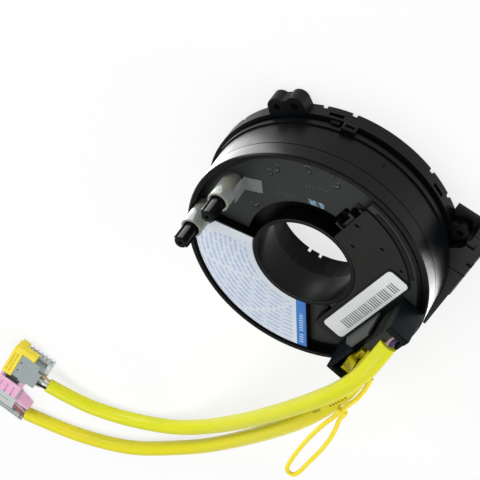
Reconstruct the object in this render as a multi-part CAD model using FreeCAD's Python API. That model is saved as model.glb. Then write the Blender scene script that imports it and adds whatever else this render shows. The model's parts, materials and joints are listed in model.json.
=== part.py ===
import FreeCAD, Part
import math
import os
from FreeCAD import Vector

# Steering clock spring, in millimetres.
# The turning axis is Z, the origin lies on it in the back plane, and +Z points to the steering wheel.
# The rotor's own features are drawn square to X and Y and then turned by ROTOR_ANGLE.

os.makedirs("parts", exist_ok=True)

# Driving dimensions of the round body
BODY_HEIGHT = 33.0          # back plane to the rotor's rim
RIM_RADIUS = 56.0           # rotor rim, outside
PARTING_HEIGHT = 25.4       # line between stator and rotor on the side wall
ROTOR_ANGLE = -11.5         # how far the rotor's features stand turned from the stator's
RUNNING_GAP = 0.1           # axial and radial gap of the turning fits
JOURNAL_GAP = 0.06          # radial gap of the drum on the inner tube
FACE_GAP = 0.05             # gap between mouldings that are pushed together

# Driving dimensions of the stator
HOUSING_STEP = 0.2          # the housing stands this far outside the rotor rim
FLANGE_REACH = 0.8          # the flange beyond the housing
BASE_REACH = 2.4            # the base ring beyond the housing
BASE_RING_HEIGHT = 6.9
PLATE_LOW = 2.0
PLATE_THICKNESS = 2.0
HOUSING_WALL = 2.0
FLANGE_LOW = 9.0
FLANGE_HIGH = 11.5
TUBE_ROOM = 3.96            # radial room between the collar and the inner tube
TUBE_WALL = 1.4
TUBE_TOP = 20.0
NOTCH_DEPTH = 1.7
NOTCH_WIDTH = 2.2
NOTCH_ANGLES = (-127.0, -114.0, -75.0, -62.0, -20.0, 28.0, 66.0, 108.0, 146.0)
WINDOW_ANGLES = (-121.0, -68.5, 8.0, 87.0)
WINDOW_WIDTH = 6.5
WINDOW_LOW = 3.6
WINDOW_HEIGHT = 2.0
RIB_THICKNESS = 1.2
RIB_COUNT = 12

# Driving dimensions of the mounting ears
EAR_1_ANGLE = -47.5
EAR_2_ANGLE = -141.2
EAR_HEIGHT = 7.0
EAR_REACH = 5.1             # ear holes beyond the housing
EAR_HOLE_SPACING = 8.6
EAR_HOLE_RADIUS = 1.5
EAR_LOBE_RADIUS = 4.3
EAR_SHOULDER = 4.9

# Driving dimensions of the harness block on the left side
BLOCK_REACH = 1.6           # the block's left side beyond the base ring
BLOCK_NEAR = 46.4
BLOCK_FAR = 15.5
BLOCK_HEIGHT = 11.0
BLOCK_WALL = 1.6
BLOCK_WIDTH = 19.6
BLOCK_EAR_STEP_WIDTH = 7.3
BLOCK_EAR_STEP_LENGTH = 5.4
BLOCK_FLOOR = 1.5
SOCKET_WIDTH = 4.4
SOCKET_LENGTH = 16.8
TERMINAL_COUNT = 4
TERMINAL_PITCH = 3.4
TERMINAL_SIZE = 0.64
TERMINAL_TIP = 5.0
CARRIER_THICKNESS = 1.6
HARNESS_COVER_LENGTH = 11.9

# Driving dimensions of the rotor
COLLAR_INNER_RADIUS = 21.5
COLLAR_WALL = 1.94
COLLAR_LOW = 17.0
FLOOR_HEIGHT = 28.3
SHEET = 1.8
RIM_WALL = 2.5
DRUM_WALL = 1.5
GROOVE_MARGIN = 0.36        # the groove's wall stands this far inside the drum
GROOVE_FLOOR = 25.0
PLATEAU_HEIGHT = 32.6
PLATEAU_START = 23.5
PLATEAU_END = 126.5
PLATEAU_MARGIN = 1.1
SPIGOT_LOW = 22.0
SPIGOT_WALL = 1.6

# Driving dimensions of the drive posts
POST_INSET = 10.7           # post centres inside the rim's radius
POST_SPACING = 23.5
POST_MIDDLE_Y = 7.15
POST_TOP = 54.0
PIN_CORE_RADIUS = 2.95
PIN_RIB_REACH = 3.55
PIN_RIB_WIDTH = 1.7
PIN_HOLE_RADIUS = 0.8
PIN_HOLE_DEPTH = 4.0
POST_SLEEVE_RADIUS = 4.75
POST_SLEEVE_LENGTH = 15.7
POST_SLEEVE_GAP = 0.05

# Driving dimensions of the retaining sleeve
SLEEVE_BOTTOM = 0.3
SLEEVE_FLANGE_REACH = 1.8   # the sleeve's flange under the base plate, beyond the inner tube
SLEEVE_FLANGE_TOP = 1.9
SLEEVE_WALL = 1.35
SLEEVE_MOUTH_HEIGHT = 3.7
SLEEVE_GAP = 0.15

# Driving dimensions of the cover plate and the stickers
COVER_MARGIN = 5.8          # cover plate's edge inside the rim
COVER_THICKNESS = 0.9
COVER_BACK = 24.2
STEP_MARGIN = 3.7
STEP_THICKNESS = 0.35
STICKER_WIDTH = 10.8
STICKER_LENGTH = 51.4
STICKER_INSET = 6.5         # sticker's middle from the cover plate's left edge
STICKER_Y = -5.6
STICKER_PAD = 0.5
PAPER = 0.15
FACE_STICKER_MARGIN = 0.4
FACE_STICKER_INNER_MARGIN = 1.16

# Driving dimensions of the lead tower
TOWER_INSET = 5.8           # tower's outer wall inside the rim's radius
TOWER_WIDTH = 10.4
TOWER_NEAR = -23.6
TOWER_NEAR_WALL = 3.5
TOWER_TOP = 51.6
TOWER_WALL = 1.6
TOWER_BACK_STEP = 1.0       # back wall beyond the cover plate's back edge
TOWER_BACK_WALL = 2.2
TOWER_BACK_TOP = 48.0
TOWER_INNER_STEP = 1.3
TOWER_INNER_START = 6.0
TOWER_OUTER_STEP_Y = -14.0
TOWER_OUTER_LOW_TOP = 38.8
TOWER_FOOT = 1.0
COMB_THICKNESS = 4.3
COMB_TOP = 50.5
COMB_BACK = -3.3
COMB_RIBS = 9
COMB_RIB_DEPTH = 0.4
INSERT_THICKNESS = 0.9
RETAINER_THICKNESS = 1.6

# Driving dimensions of the flat cable
RIBBON_THICKNESS = 0.3
RIBBON_LOW = 6.0
RIBBON_HEIGHT = 15.0
RIBBON_HALF_TURNS = 22
RIBBON_START_ROOM = 0.84    # from the drum to the band's first turn
RIBBON_END_ROOM = 2.8       # from the band's last turn to the housing
END_BLOCK_LENGTH = 6.0

# Driving dimensions of the leads and plugs
LEAD_DIAMETER = 8.0
LEAD_SEAT_GAP = 0.15
WIRE_DIAMETER = 1.7
STRAP_WIDTH = 2.2
PLUG_A_LENGTH = 14.2
PLUG_A_WIDTH = 15.0
PLUG_A_HEIGHT = 9.2
PLUG_B_LENGTH = 16.0
PLUG_B_WIDTH = 14.4
PLUG_B_HEIGHT = 8.6
PLUG_WALL = 0.85
PLUG_LOCK_TRAVEL = 2.0
PLUG_SLIDE_GAP = 0.15

# Heights and radii that follow from the driving dimensions
PLATE_TOP = PLATE_LOW + PLATE_THICKNESS
HOUSING_RADIUS = RIM_RADIUS + HOUSING_STEP
FLANGE_RADIUS = HOUSING_RADIUS + FLANGE_REACH
BASE_RADIUS = HOUSING_RADIUS + BASE_REACH
EAR_HOLE_CIRCLE = HOUSING_RADIUS + EAR_REACH
COLLAR_RADIUS = COLLAR_INNER_RADIUS + COLLAR_WALL
TUBE_INNER_RADIUS = COLLAR_RADIUS + TUBE_ROOM
HOUSING_INNER = HOUSING_RADIUS - HOUSING_WALL
HOUSING_TOP = PARTING_HEIGHT - 4 * RUNNING_GAP
TUBE_RADIUS = TUBE_INNER_RADIUS + TUBE_WALL
DRUM_INNER = TUBE_RADIUS + JOURNAL_GAP
DRUM_RADIUS = DRUM_INNER + DRUM_WALL
GROOVE_RADIUS = DRUM_INNER - GROOVE_MARGIN
RIBBON_START = DRUM_RADIUS + RIBBON_START_ROOM
RIBBON_END = HOUSING_INNER - RIBBON_END_ROOM
DRUM_LOW = PLATE_TOP + RUNNING_GAP
RIM_INNER = RIM_RADIUS - RIM_WALL
SPIGOT_RADIUS = HOUSING_INNER - RUNNING_GAP
PLATEAU_OUTER = RIM_INNER - PLATEAU_MARGIN
FACE_STICKER_OUTER = PLATEAU_OUTER - FACE_STICKER_MARGIN
FACE_STICKER_INNER = COLLAR_RADIUS + FACE_STICKER_INNER_MARGIN
SLEEVE_OUTER = TUBE_INNER_RADIUS - SLEEVE_GAP
SLEEVE_FLANGE_RADIUS = TUBE_INNER_RADIUS + SLEEVE_FLANGE_REACH
SLEEVE_MOUTH_RADIUS = SLEEVE_OUTER - SLEEVE_WALL
COVER_RADIUS = RIM_INNER - COVER_MARGIN
STEP_RADIUS = RIM_INNER - STEP_MARGIN
LOCK_Y = 11.5 - COVER_RADIUS
POST_X = RIM_RADIUS - POST_INSET
TOWER_LEFT = TOWER_INSET - RIM_RADIUS
TOWER_RIGHT = TOWER_LEFT + TOWER_WIDTH
TOWER_INNER_X = TOWER_RIGHT + TOWER_INNER_STEP
TOWER_FOOT_X = TOWER_INNER_X + INSERT_THICKNESS
TOWER_BACK_Y = COVER_BACK + TOWER_BACK_STEP
COVER_LEFT_X = TOWER_FOOT_X + FACE_GAP
STICKER_X = COVER_LEFT_X + STICKER_INSET
BLOCK_LEFT = BASE_RADIUS + BLOCK_REACH
BLOCK_RIGHT = BLOCK_LEFT - BLOCK_WIDTH
BLOCK_EAR_STEP_X = BLOCK_EAR_STEP_WIDTH - BLOCK_LEFT
BLOCK_EAR_STEP_Y = BLOCK_EAR_STEP_LENGTH - BLOCK_NEAR
SOCKET_RIGHT = BLOCK_WALL + SOCKET_WIDTH - BLOCK_LEFT
SOCKET_FAR = BLOCK_WALL + SOCKET_LENGTH - BLOCK_NEAR
COVER_FAR = SOCKET_FAR + BLOCK_WALL + HARNESS_COVER_LENGTH
PIN_CORNER = math.hypot(PIN_RIB_REACH, PIN_RIB_WIDTH / 2)
FLOOR_UNDER = FLOOR_HEIGHT - SHEET
DECK = BODY_HEIGHT
COVER_TOP = DECK + COVER_THICKNESS
POSTS = ((POST_X, POST_MIDDLE_Y - POST_SPACING / 2), (POST_X, POST_MIDDLE_Y + POST_SPACING / 2))
POST_SLEEVE_TOP = FLOOR_HEIGHT + POST_SLEEVE_LENGTH
UP = Vector(0, 0, 1)
ORIGIN = Vector(0, 0, 0)


def disc(radius, low, high, x=0.0, y=0.0):
    return Part.makeCylinder(radius, high - low, Vector(x, y, low))


def ring(inner, outer, low, high):
    return disc(outer, low, high).cut(disc(inner, low - 1, high + 1))


def box(x0, x1, y0, y1, z0, z1):
    return Part.makeBox(x1 - x0, y1 - y0, z1 - z0, Vector(x0, y0, z0))


def polar(radius, degrees, z=0.0):
    angle = math.radians(degrees)
    return Vector(radius * math.cos(angle), radius * math.sin(angle), z)


def turned(shape, degrees):
    copy = shape.copy()
    copy.rotate(ORIGIN, UP, degrees)
    return copy


def on_rotor(shape):
    return turned(shape, ROTOR_ANGLE)


def prism(points, low, high):
    corners = [Vector(x, y, low) for x, y in points]
    outline = Part.makePolygon(corners + [corners[0]])
    return Part.Face(outline).extrude(Vector(0, 0, high - low))


def revolve(points):
    corners = [Vector(r, 0, z) for r, z in points]
    outline = Part.makePolygon(corners + [corners[0]])
    return Part.Face(outline).revolve(ORIGIN, UP, 360)


def sector(inner, outer, start, end, low, high):
    middle = (start + end) / 2
    outer_arc = Part.Arc(polar(outer, start, low), polar(outer, middle, low), polar(outer, end, low))
    inner_arc = Part.Arc(polar(inner, end, low), polar(inner, middle, low), polar(inner, start, low))
    side_a = Part.LineSegment(polar(outer, end, low), polar(inner, end, low))
    side_b = Part.LineSegment(polar(inner, start, low), polar(outer, start, low))
    wire = Part.Wire([outer_arc.toShape(), side_a.toShape(), inner_arc.toShape(), side_b.toShape()])
    return Part.Face(wire).extrude(Vector(0, 0, high - low))


def rounded_plate(x, y, width, length, radius, low, high):
    plate = box(x - width / 2, x + width / 2, y - length / 2, y + length / 2, low, high)
    uprights = [e for e in plate.Edges if abs(e.Vertexes[0].Z - e.Vertexes[1].Z) > (high - low) / 2]
    return plate.makeFillet(radius, uprights)


def edges_at(shape, height):
    return [e for e in shape.Edges if abs(e.BoundBox.ZMin - height) < 1e-3 and abs(e.BoundBox.ZMax - height) < 1e-3]


def fuse(first, *others):
    return first.multiFuse(list(others)).removeSplitter()


def save(shape, name):
    solids = shape.Solids
    assert len(solids) == 1 and shape.isValid(), name
    solids[0].exportStep("parts/" + name + ".step")


# Base plate: castellated ring, ribs underneath, inner tube and two mounting ears
EAR_1_HOLES = (-EAR_HOLE_SPACING / 2, EAR_HOLE_SPACING / 2)
EAR_2_HOLES = (0.0,)
EARS = ((EAR_1_ANGLE, EAR_1_HOLES), (EAR_2_ANGLE, EAR_2_HOLES))


def ear(angle, holes, grow=0.0, low=0.0, high=EAR_HEIGHT):
    radius = EAR_LOBE_RADIUS + grow
    root_x = HOUSING_RADIUS - 0.5
    root_y = holes[-1] + EAR_SHOULDER + grow
    tip_x = EAR_HOLE_CIRCLE + radius * 0.25
    tip_y = holes[-1] + radius * 0.96
    web = prism([(root_x, -root_y), (tip_x, -tip_y), (tip_x, tip_y), (root_x, root_y)], low, high)
    lobes = [disc(radius, low, high, EAR_HOLE_CIRCLE, y) for y in holes]
    if len(holes) > 1:
        lobes.append(box(EAR_HOLE_CIRCLE, EAR_HOLE_CIRCLE + radius * 0.7, holes[0], holes[-1], low, high))
    return turned(web.multiFuse(lobes), angle)


def ear_holes(angle, holes):
    pins = [disc(EAR_HOLE_RADIUS, -1.0, EAR_HEIGHT + 1, EAR_HOLE_CIRCLE, y) for y in holes]
    return [turned(pin, angle) for pin in pins]


def base_plate():
    plate = ring(TUBE_INNER_RADIUS, BASE_RADIUS - 0.3, PLATE_LOW, PLATE_TOP)
    wall = ring(HOUSING_RADIUS + FACE_GAP, BASE_RADIUS, 0.0, BASE_RING_HEIGHT)
    tube = ring(TUBE_INNER_RADIUS, TUBE_RADIUS, PLATE_LOW, TUBE_TOP)
    recess_wall = ring(SLEEVE_FLANGE_RADIUS + 0.5, SLEEVE_FLANGE_RADIUS + 0.5 + RIB_THICKNESS, 0.0, PLATE_LOW)
    ribs = []
    for i in range(RIB_COUNT):
        rib = box(SLEEVE_FLANGE_RADIUS + 1, HOUSING_RADIUS + 0.5, -RIB_THICKNESS / 2, RIB_THICKNESS / 2,
                  0.0, PLATE_LOW)
        ribs.append(turned(rib, (i + 0.5) * 360 / RIB_COUNT))
    body = plate.multiFuse([wall, tube, recess_wall] + ribs + [ear(*e) for e in EARS])
    room = ring(TUBE_RADIUS, HOUSING_RADIUS + FACE_GAP, PLATE_TOP, EAR_HEIGHT + 1)
    body = body.cut(room)
    cuts = []
    for angle in NOTCH_ANGLES:
        notch = box(HOUSING_RADIUS + 0.6, BASE_RADIUS + 3, -NOTCH_WIDTH / 2, NOTCH_WIDTH / 2, -1.0, NOTCH_DEPTH)
        cuts.append(turned(notch, angle))
    for angle in WINDOW_ANGLES:
        window = box(HOUSING_RADIUS - 1, BASE_RADIUS + 1, -WINDOW_WIDTH / 2, WINDOW_WIDTH / 2,
                     WINDOW_LOW + PLATE_TOP - PLATE_THICKNESS - PLATE_LOW, WINDOW_LOW + WINDOW_HEIGHT)
        cuts.append(turned(window, angle).cut(disc(HOUSING_RADIUS, 0.0, PLATE_TOP)))
    for e in EARS:
        cuts += ear_holes(*e)
    return body.cut(cuts).removeSplitter()


# Housing: the stator's upright wall, with its flange, the snap hooks and the port for the cable's end block
def housing():
    wall = revolve([(HOUSING_INNER, PLATE_TOP), (HOUSING_RADIUS, PLATE_TOP), (HOUSING_RADIUS, FLANGE_LOW),
                    (FLANGE_RADIUS, FLANGE_LOW), (FLANGE_RADIUS, FLANGE_HIGH), (HOUSING_RADIUS, FLANGE_HIGH),
                    (HOUSING_RADIUS - 0.2, HOUSING_TOP), (HOUSING_INNER, HOUSING_TOP)])
    hooks = []
    for angle in WINDOW_ANGLES:
        low = max(WINDOW_LOW, PLATE_TOP) + 0.2
        high = WINDOW_LOW + WINDOW_HEIGHT - 0.1
        hook = box(HOUSING_RADIUS - 0.5, HOUSING_RADIUS + 1.1, -WINDOW_WIDTH / 2 + 0.6, WINDOW_WIDTH / 2 - 0.6,
                   low, high)
        hooks.append(turned(hook, angle))
    pimple = Part.makeSphere(0.7, polar(HOUSING_RADIUS, -96.0, (FLANGE_HIGH + HOUSING_TOP) / 2 - 2.5))
    body = wall.multiFuse(hooks + [pimple])
    return body.cut(neck(0.0)).removeSplitter()


# The neck of the outer end block passes through the housing wall into the harness block
def neck(grow):
    middle = RIBBON_LOW + RIBBON_HEIGHT / 2
    top = BLOCK_HEIGHT - BLOCK_WALL - 0.3
    return box(-BASE_RADIUS - 0.4, -HOUSING_INNER + 1.5, END_BLOCK_LENGTH * 0.2 - grow,
               END_BLOCK_LENGTH + grow, BASE_RING_HEIGHT + 0.1 - grow, min(top, middle) + grow)


def outer_end_block():
    head = box(-HOUSING_INNER - 1, -RIBBON_END + 0.9, 0.0, END_BLOCK_LENGTH, RIBBON_LOW,
               RIBBON_LOW + RIBBON_HEIGHT)
    head = head.common(disc(HOUSING_INNER, 0.0, BODY_HEIGHT))
    return fuse(head, neck(0.0))


def inner_end_block():
    head = box(-RIBBON_START - 0.8, -DRUM_RADIUS + 1.5, -END_BLOCK_LENGTH, 0.0, RIBBON_LOW,
               RIBBON_LOW + RIBBON_HEIGHT)
    return head.cut(disc(DRUM_RADIUS, 0.0, BODY_HEIGHT))


# Flat cable: a spiral band made of half circles on two centres, from the drum's block to the housing's block
def flat_cable():
    step = (RIBBON_END - RIBBON_START) / (2 * RIBBON_HALF_TURNS)
    faces = []
    radius = RIBBON_START + step
    for i in range(RIBBON_HALF_TURNS):
        side = 1 if i % 2 == 0 else -1
        centre = Vector(side * step, 0, RIBBON_LOW)
        first = 180 if side == 1 else 0
        path = []
        for r in (radius, radius + RIBBON_THICKNESS):
            ends = [centre + polar(r, first), centre + polar(r, first - 90), centre + polar(r, first - 180)]
            path.append(Part.Arc(*ends).toShape())
        caps = [Part.makeLine(path[0].Vertexes[k].Point, path[1].Vertexes[k].Point) for k in (0, 1)]
        faces.append(Part.Face(Part.Wire(Part.__sortEdges__([path[0], caps[1], path[1], caps[0]]))))
        radius += 2 * step
    bands = [face.extrude(Vector(0, 0, RIBBON_HEIGHT)) for face in faces]
    return fuse(bands[0], *bands[1:])


# Harness block: a hollow moulding on the left side of the stator, with a socket that opens to the back
def block_outline(inset, low, high):
    body = box(-BLOCK_LEFT + inset, -BLOCK_RIGHT - inset, -BLOCK_NEAR + inset, BLOCK_FAR - inset, low, high)
    return body.cut(disc(BASE_RADIUS + FACE_GAP + inset, low - 1, high + 1))


def socket_space(inset, low, high):
    return box(-BLOCK_LEFT + BLOCK_WALL + inset, SOCKET_RIGHT - inset, -BLOCK_NEAR + BLOCK_WALL + inset,
               SOCKET_FAR - inset, low, high)


def cover_space(inset, low, high):
    space = block_outline(BLOCK_WALL + inset, low, high)
    return space.common(box(-BLOCK_LEFT, 0, SOCKET_FAR + BLOCK_WALL + inset, COVER_FAR - inset, low, high))


def harness_block():
    top = box(-BLOCK_LEFT, -BLOCK_RIGHT, -BLOCK_NEAR, BLOCK_FAR, BASE_RING_HEIGHT, BLOCK_HEIGHT)
    top = top.cut(disc(FLANGE_RADIUS + FACE_GAP, 0.0, BODY_HEIGHT))
    body = block_outline(0.0, 0.0, BLOCK_HEIGHT).fuse(top).removeSplitter()
    left_rim = [e for e in edges_at(body, BLOCK_HEIGHT) if e.BoundBox.XMax < -BLOCK_LEFT + 1e-3]
    body = body.makeChamfer(0.5, left_rim)
    over = BLOCK_HEIGHT + 1
    lowered = box(BLOCK_EAR_STEP_X, 0, -BLOCK_NEAR - 1, BLOCK_EAR_STEP_Y, BLOCK_FLOOR, over)
    lowered = lowered.fuse(box(14.2 - BLOCK_LEFT, 0, -BLOCK_NEAR - 1, SOCKET_FAR, BLOCK_FLOOR, over))
    pocket_depth = BLOCK_WALL * 0.6
    inner = -BLOCK_LEFT + 4.0
    near = -BLOCK_NEAR
    cuts = [lowered, ear(EAR_2_ANGLE, EAR_2_HOLES, 0.3, -1.0, over), neck(0.1),
            socket_space(0.0, -1.0, BLOCK_HEIGHT - BLOCK_WALL), cover_space(0.0, -1.0, BLOCK_HEIGHT - BLOCK_WALL),
            box(inner, BLOCK_EAR_STEP_X + 0.4, near + 4.4, near + 8.4, BLOCK_HEIGHT - pocket_depth, over),
            box(-BLOCK_LEFT - 1, -BLOCK_LEFT + 3.0, near + 14.4, near + 17.6, BLOCK_HEIGHT - pocket_depth, over),
            box(-BLOCK_LEFT - 1, -BLOCK_LEFT + 9.2, near + 23.6, near + 24.2, BLOCK_HEIGHT - 0.5, over),
            box(inner + 1.0, BLOCK_EAR_STEP_X + 0.4, near + 0.9, near + 1.3, BLOCK_HEIGHT - 0.5, over),
            box(-BLOCK_LEFT - 1, -BLOCK_LEFT + 0.6, BLOCK_FAR - 23.5, BLOCK_FAR + 1, -1.0, over),
            box(-BLOCK_LEFT + 8.6, -BLOCK_LEFT + 11.9, near + 0.8, near + 1.5, -1.0, over)]
    return body.cut(cuts).removeSplitter()


def harness_terminals():
    top = BLOCK_HEIGHT - BLOCK_WALL
    carrier = socket_space(0.05, top - CARRIER_THICKNESS, top)
    middle_x = (-BLOCK_LEFT + BLOCK_WALL + SOCKET_RIGHT) / 2
    middle_y = (-BLOCK_NEAR + BLOCK_WALL + SOCKET_FAR) / 2
    half = TERMINAL_SIZE / 2
    bars = []
    for i in range(TERMINAL_COUNT):
        y = middle_y + (i - (TERMINAL_COUNT - 1) / 2) * TERMINAL_PITCH
        bars.append(box(middle_x - half, middle_x + half, y - half, y + half, TERMINAL_TIP, top - 0.5))
    return fuse(carrier, *bars)


def harness_cover():
    return cover_space(0.05, 0.2, BLOCK_FLOOR + 0.3)


# Rotor: the face with its recessed floor, the rim, the drum, the collar, the plateau and the two drive posts
def drive_pin(x, y):
    core = disc(PIN_CORE_RADIUS, FLOOR_HEIGHT - 0.5, POST_TOP, x, y)
    core = core.makeChamfer(0.5, edges_at(core, POST_TOP))
    top = POST_TOP - 1.0
    half = PIN_RIB_WIDTH / 2
    cross = [box(x - PIN_RIB_REACH, x + PIN_RIB_REACH, y - half, y + half, FLOOR_HEIGHT - 0.5, top),
             box(x - half, x + half, y - PIN_RIB_REACH, y + PIN_RIB_REACH, FLOOR_HEIGHT - 0.5, top)]
    hole = disc(PIN_HOLE_RADIUS, POST_TOP - PIN_HOLE_DEPTH, POST_TOP + 1, x, y)
    return core.multiFuse(cross).cut(hole)


def deck_outline(inset, low, high):
    quadrant = sector(GROOVE_RADIUS + inset, RIM_INNER + 0.5 - inset, -180 + 0.0, -90 - 2 * inset, low, high)
    left = box(-RIM_INNER, -COLLAR_RADIUS - inset, -1.0, COVER_BACK - inset, low, high)
    left = left.common(disc(RIM_INNER + 0.5 - inset, low, high)).cut(disc(GROOVE_RADIUS + inset, low - 1, high + 1))
    return quadrant.fuse(left)


def rotor_face():
    shell = revolve([(DRUM_INNER, DRUM_LOW), (DRUM_RADIUS, DRUM_LOW), (DRUM_RADIUS, FLOOR_UNDER),
                     (SPIGOT_RADIUS - SPIGOT_WALL, FLOOR_UNDER), (SPIGOT_RADIUS - SPIGOT_WALL, SPIGOT_LOW),
                     (SPIGOT_RADIUS, SPIGOT_LOW), (SPIGOT_RADIUS, PARTING_HEIGHT), (RIM_RADIUS, PARTING_HEIGHT),
                     (RIM_RADIUS, BODY_HEIGHT - 0.6), (RIM_RADIUS - 0.6, BODY_HEIGHT), (RIM_INNER, BODY_HEIGHT),
                     (RIM_INNER, FLOOR_HEIGHT), (GROOVE_RADIUS, FLOOR_HEIGHT), (GROOVE_RADIUS, GROOVE_FLOOR),
                     (COLLAR_RADIUS, GROOVE_FLOOR), (COLLAR_RADIUS, DECK + 0.9), (COLLAR_RADIUS - 0.4, DECK + 1.2),
                     (COLLAR_INNER_RADIUS + 0.5, DECK + 1.2), (COLLAR_INNER_RADIUS, DECK + 0.8),
                     (COLLAR_INNER_RADIUS, COLLAR_LOW), (COLLAR_RADIUS, COLLAR_LOW),
                     (COLLAR_RADIUS, GROOVE_FLOOR - SHEET), (DRUM_INNER, GROOVE_FLOOR - SHEET)])
    plateau = sector(COLLAR_RADIUS - 0.5, RIM_INNER + 0.5, PLATEAU_START, PLATEAU_END, FLOOR_UNDER, PLATEAU_HEIGHT)
    deck = deck_outline(0.0, FLOOR_UNDER, DECK)
    inner_deck = sector(COLLAR_RADIUS - 0.5, GROOVE_RADIUS + 0.5, -205.0, -90.0, GROOVE_FLOOR - 0.5, DECK)
    body = shell.multiFuse([plateau, deck, inner_deck] + [drive_pin(x, y) for x, y in POSTS])
    sheet = SHEET - 0.2
    under_plateau = sector(DRUM_RADIUS, SPIGOT_RADIUS - SPIGOT_WALL, PLATEAU_START + 2.5, PLATEAU_END - 2.5,
                           FLOOR_UNDER - 1, PLATEAU_HEIGHT - sheet)
    under_deck = deck_outline(SHEET, FLOOR_UNDER - 1, DECK - sheet)
    under_deck = under_deck.common(ring(DRUM_RADIUS, SPIGOT_RADIUS - SPIGOT_WALL, 0.0, BODY_HEIGHT))
    post_clear = POST_SLEEVE_RADIUS + 0.9
    second = POSTS[1]
    pocket = disc(post_clear, FLOOR_HEIGHT, PLATEAU_HEIGHT + 1, *second)
    pocket = pocket.common(disc(RIM_INNER + 0.9, 0.0, BODY_HEIGHT)).cut(disc(PIN_CORNER, 0.0, POST_TOP, *second))
    keep = disc(post_clear + SHEET, FLOOR_UNDER - 2, PLATEAU_HEIGHT, *second)
    lip_groove = ring(RIM_INNER - 0.7, RIM_INNER, DECK - 0.7, DECK + 1)
    flat_top = disc(PLATEAU_OUTER + 0.2, PLATEAU_HEIGHT, PLATEAU_HEIGHT + 0.1)
    windows = [box(0.0, 5.0, LOCK_Y, LOCK_Y + 9.2, FLOOR_HEIGHT - 4.0, FLOOR_HEIGHT + 1),
               box(0.6, 2.4, LOCK_Y - 4.4, LOCK_Y - 1.0, FLOOR_UNDER - 1, FLOOR_HEIGHT + 1),
               box(-0.6, 3.4, LOCK_Y - 6.8, LOCK_Y - 6.2, FLOOR_HEIGHT - 0.7, FLOOR_HEIGHT + 1),
               box(-0.6, 3.4, LOCK_Y - 5.6, LOCK_Y - 5.2, FLOOR_HEIGHT - 0.7, FLOOR_HEIGHT + 1)]
    body = body.cut([under_plateau.cut(keep), under_deck, pocket, lip_groove] + windows)
    return body.removeSplitter()


# Translucent sleeve on a drive post
def post_sleeve(x, y):
    tube = disc(POST_SLEEVE_RADIUS, FLOOR_HEIGHT, POST_SLEEVE_TOP, x, y)
    tube = tube.makeFillet(0.4, edges_at(tube, POST_SLEEVE_TOP))
    return tube.cut(disc(PIN_CORNER + POST_SLEEVE_GAP, FLOOR_HEIGHT - 1, POST_TOP, x, y))


# Retaining sleeve: clips on the collar's lower end and holds the rotor with its flange under the base plate
def retaining_sleeve():
    seat = COLLAR_RADIUS + FACE_GAP
    body = revolve([(SLEEVE_MOUTH_RADIUS, SLEEVE_MOUTH_HEIGHT), (SLEEVE_MOUTH_RADIUS + 0.3, SLEEVE_BOTTOM),
                    (SLEEVE_FLANGE_RADIUS, SLEEVE_BOTTOM), (SLEEVE_FLANGE_RADIUS, SLEEVE_FLANGE_TOP),
                    (SLEEVE_OUTER, SLEEVE_FLANGE_TOP), (SLEEVE_OUTER, COLLAR_LOW - 1.6),
                    (seat + 1.4, COLLAR_LOW), (seat + 1.4, GROOVE_FLOOR - SHEET),
                    (seat, GROOVE_FLOOR - SHEET), (seat, COLLAR_LOW),
                    (COLLAR_RADIUS - 0.6, COLLAR_LOW), (COLLAR_RADIUS + 0.6, COLLAR_LOW - 2.0)])
    notches = [turned(box(0, SLEEVE_FLANGE_RADIUS + 1, -0.7, 0.7, -1.0, SLEEVE_MOUTH_HEIGHT - 1.0), a)
               for a in (100.0, 112.0)]
    return body.cut(notches)


# Flat cable cover on the rotor face, with a raised pad for the striped sticker
def cable_cover():
    quadrant = sector(COLLAR_RADIUS + 0.2, COVER_RADIUS, -180.0, -90.0, DECK, COVER_TOP)
    left = box(COVER_LEFT_X, -COLLAR_RADIUS, -10.0, COVER_BACK, DECK, COVER_TOP)
    body = quadrant.fuse(left)
    body = body.cut([box(-RIM_RADIUS, COVER_LEFT_X, -RIM_RADIUS, RIM_RADIUS, DECK - 1, COVER_TOP + 1),
                     disc(COLLAR_RADIUS + 0.2, DECK - 1, COVER_TOP + 1)])
    pad = rounded_plate(STICKER_X, STICKER_Y, STICKER_WIDTH + 1.4, STICKER_LENGTH + 1.4, 2.6,
                        COVER_TOP - 0.3, COVER_TOP + STICKER_PAD)
    step = sector(COVER_RADIUS - 1, STEP_RADIUS, -136.0, -95.0, DECK, DECK + STEP_THICKNESS)
    lugs = [box(-0.6, 2.6, LOCK_Y + 4.7, LOCK_Y + 5.9, DECK, COVER_TOP),
            box(-0.6, 2.0, LOCK_Y - 9.7, LOCK_Y - 8.5, DECK, COVER_TOP)]
    holes = []
    for x, y, width, length in ((-8.0, -27.2, 1.9, 1.0), (-16.8, -37.0, 1.9, 1.0), (-2.5, -38.4, 2.2, 2.6),
                                (-29.1, -34.6, 1.7, 1.0)):
        holes.append(box(x - width / 2, x + width / 2, y - length / 2, y + length / 2, DECK - 1, COVER_TOP + 1))
    return fuse(body, pad, step, *lugs).cut(holes)


def stripe_sticker():
    low = COVER_TOP + STICKER_PAD
    return rounded_plate(STICKER_X, STICKER_Y, STICKER_WIDTH, STICKER_LENGTH, 2.0, low, low + PAPER)


def face_sticker():
    body = sector(FACE_STICKER_INNER, FACE_STICKER_OUTER, PLATEAU_START + 1, PLATEAU_END - 0.4,
                  PLATEAU_HEIGHT, PLATEAU_HEIGHT + PAPER)
    second = POSTS[1]
    return body.cut(disc(POST_SLEEVE_RADIUS + 1.2, 0.0, BODY_HEIGHT, *second))


# Small round-cornered mark on the floor beside the collar
def face_mark():
    centre = polar(GROOVE_RADIUS + 1.57, -61.4)
    mark = rounded_plate(centre.x, centre.y, 7.4, 2.6, 0.6, FLOOR_HEIGHT, FLOOR_HEIGHT + PAPER)
    mark.rotate(centre, UP, 28)
    return mark.cut(disc(GROOVE_RADIUS, 0.0, BODY_HEIGHT))


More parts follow.
